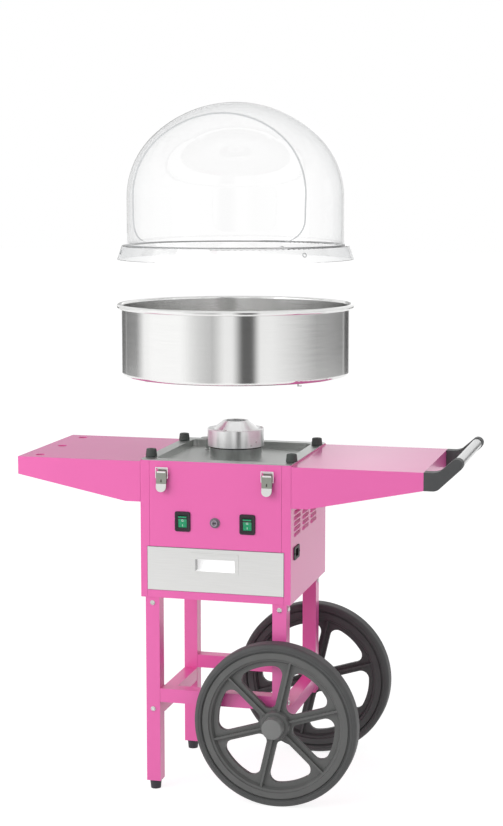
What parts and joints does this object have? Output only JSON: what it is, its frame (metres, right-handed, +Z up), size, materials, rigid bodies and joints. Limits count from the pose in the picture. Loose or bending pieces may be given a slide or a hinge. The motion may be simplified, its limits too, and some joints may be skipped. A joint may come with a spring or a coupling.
{
  "type": "candy floss machine cart",
  "caption": "Electric candy-floss machine on a cart with a spinner head, a steel bowl under a clear dome, a drawer, side shelves and wheels.",
  "frame": {"origin": "on the floor, midway between the left shelf's end and the handle and midway between front and rear; the spinner's axis stands 40.25 mm to the left of it", "axes": "+X to the handle (the user's right when facing the switches), +Y from the switches to the rear, +Z up"},
  "size_m": [0.9725, 0.52, 1.491],
  "materials": {
    "pink_paint": "semi-gloss powder coat",
    "stainless": "brushed",
    "bowl_steel": "brushed, spun",
    "cast_aluminium": "turned, satin",
    "tube_aluminium": "satin anodised",
    "plated_steel": "bright zinc plate",
    "black_rubber": "matte",
    "grey_plastic": "fine grain",
    "wheel_plastic": "fine grain",
    "wheel_tyre": "matte",
    "black_plastic": "satin",
    "green_plastic": "translucent",
    "clear_acrylic": "clear, polished",
    "motor_steel": "satin"
  },
  "bodies": {
    "cart": {"axle": "plated_steel", "base_plate": "pink_paint", "drawer_runners": "stainless", "frame_bolts": "plated_steel", "front_panel": "pink_paint", "front_rail": "pink_paint", "fuse_holder": "black_plastic", "handle_bracket_front": "grey_plastic", "handle_bracket_rear": "grey_plastic", "handle_tube": "tube_aluminium", "head_pedestal": "grey_plastic", "latch_base_left": "plated_steel", "latch_base_right": "plated_steel", "leg_front_left": "pink_paint", "leg_front_right": "pink_paint", "leg_glides": "black_rubber", "leg_rear_left": "pink_paint", "leg_rear_right": "pink_paint", "motor": "motor_steel", "motor_bracket": "motor_steel", "power_inlet": "black_plastic", "rear_panel": "pink_paint", "rear_rail": "pink_paint", "rubber_posts": "black_rubber", "seal_ring": "black_rubber", "shelf_left": "pink_paint", "shelf_right": "pink_paint", "side_panel_left": "pink_paint", "side_panel_right": "pink_paint", "side_rail_left": "pink_paint", "side_rail_right": "pink_paint", "switch_bezel_left": "black_plastic", "switch_bezel_right": "black_plastic", "top_tray": "stainless", "tray_stud": "stainless"},
    "wheel_front": {"wheel_front": "wheel_plastic", "tyre_front": "wheel_tyre", "hub_cap_front": "wheel_plastic"},
    "wheel_rear": {"wheel_rear": "wheel_plastic", "tyre_rear": "wheel_tyre", "hub_cap_rear": "wheel_plastic"},
    "spinner": {"head_drum": "cast_aluminium", "head_cone": "cast_aluminium", "heating_element": "plated_steel", "spinner_shaft": "plated_steel", "head_screws": "plated_steel"},
    "drawer": {"drawer_front": "stainless", "drawer_tray": "stainless", "drawer_pull": "stainless"},
    "rocker_left": {"rocker_left": "green_plastic"},
    "rocker_right": {"rocker_right": "green_plastic"},
    "latch_lever_left": {"latch_lever_left": "plated_steel"},
    "latch_lever_right": {"latch_lever_right": "plated_steel"},
    "latch_bail_left": {"latch_bail_left": "plated_steel"},
    "latch_bail_right": {"latch_bail_right": "plated_steel"},
    "fuse_cap": {"fuse_cap": "black_plastic"},
    "bowl": {"bowl": "bowl_steel", "bowl_hooks": "plated_steel"},
    "dome": {"dome": "clear_acrylic"}
  },
  "joints": [
    {"name": "wheel_front_spin", "type": "hinge", "parent": "cart", "child": "wheel_front", "pos_m": [0.10075, -0.1945, 0.1772], "axis": [0, 1, 0], "continuous": true},
    {"name": "wheel_rear_spin", "type": "hinge", "parent": "cart", "child": "wheel_rear", "pos_m": [0.10075, 0.189, 0.1772], "axis": [0, 1, 0], "continuous": true},
    {"name": "spinner_spin", "type": "hinge", "parent": "cart", "child": "spinner", "pos_m": [-0.04025, 0, 0.7441], "axis": [0, 0, 1], "continuous": true},
    {"name": "drawer_slide", "type": "slide", "parent": "cart", "child": "drawer", "axis": [0, -1, 0], "range_m": [0, 0.2]},
    {"name": "fuse_cap_turn", "type": "hinge", "parent": "cart", "child": "fuse_cap", "pos_m": [-0.04025, -0.1725, 0.6003], "axis": [0, 1, 0], "range_deg": [0, 60]},
    {"name": "bowl_lift", "type": "slide", "parent": "cart", "child": "bowl", "axis": [0, 0, 1], "range_m": [-0.1533, 0]},
    {"name": "dome_lift", "type": "slide", "parent": "bowl", "child": "dome", "axis": [0, 0, 1], "range_m": [-0.0959, 0]},
    {"name": "rocker_left_tilt", "type": "hinge", "parent": "cart", "child": "rocker_left", "pos_m": [-0.11175, -0.1705, 0.6003], "axis": [1, 0, 0], "range_deg": [-12, 0]},
    {"name": "latch_lever_left_turn", "type": "hinge", "parent": "cart", "child": "latch_lever_left", "pos_m": [-0.15625, -0.1795, 0.704], "axis": [-1, 0, 0], "range_deg": [0, 110]},
    {"name": "latch_bail_left_turn", "type": "hinge", "parent": "latch_lever_left", "child": "latch_bail_left", "pos_m": [-0.15625, -0.1795, 0.694], "axis": [1, 0, 0], "range_deg": [0, 110]},
    {"name": "rocker_right_tilt", "type": "hinge", "parent": "cart", "child": "rocker_right", "pos_m": [0.03125, -0.1705, 0.6003], "axis": [1, 0, 0], "range_deg": [-12, 0]},
    {"name": "latch_lever_right_turn", "type": "hinge", "parent": "cart", "child": "latch_lever_right", "pos_m": [0.07575, -0.1795, 0.704], "axis": [-1, 0, 0], "range_deg": [0, 110]},
    {"name": "latch_bail_right_turn", "type": "hinge", "parent": "latch_lever_right", "child": "latch_bail_right", "pos_m": [0.07575, -0.1795, 0.694], "axis": [1, 0, 0], "range_deg": [0, 110]}
  ],
  "couplings": [
    {"joint": "latch_bail_left_turn", "follows": "latch_lever_left_turn", "ratio": 1},
    {"joint": "latch_bail_right_turn", "follows": "latch_lever_right_turn", "ratio": 1}
  ]
}
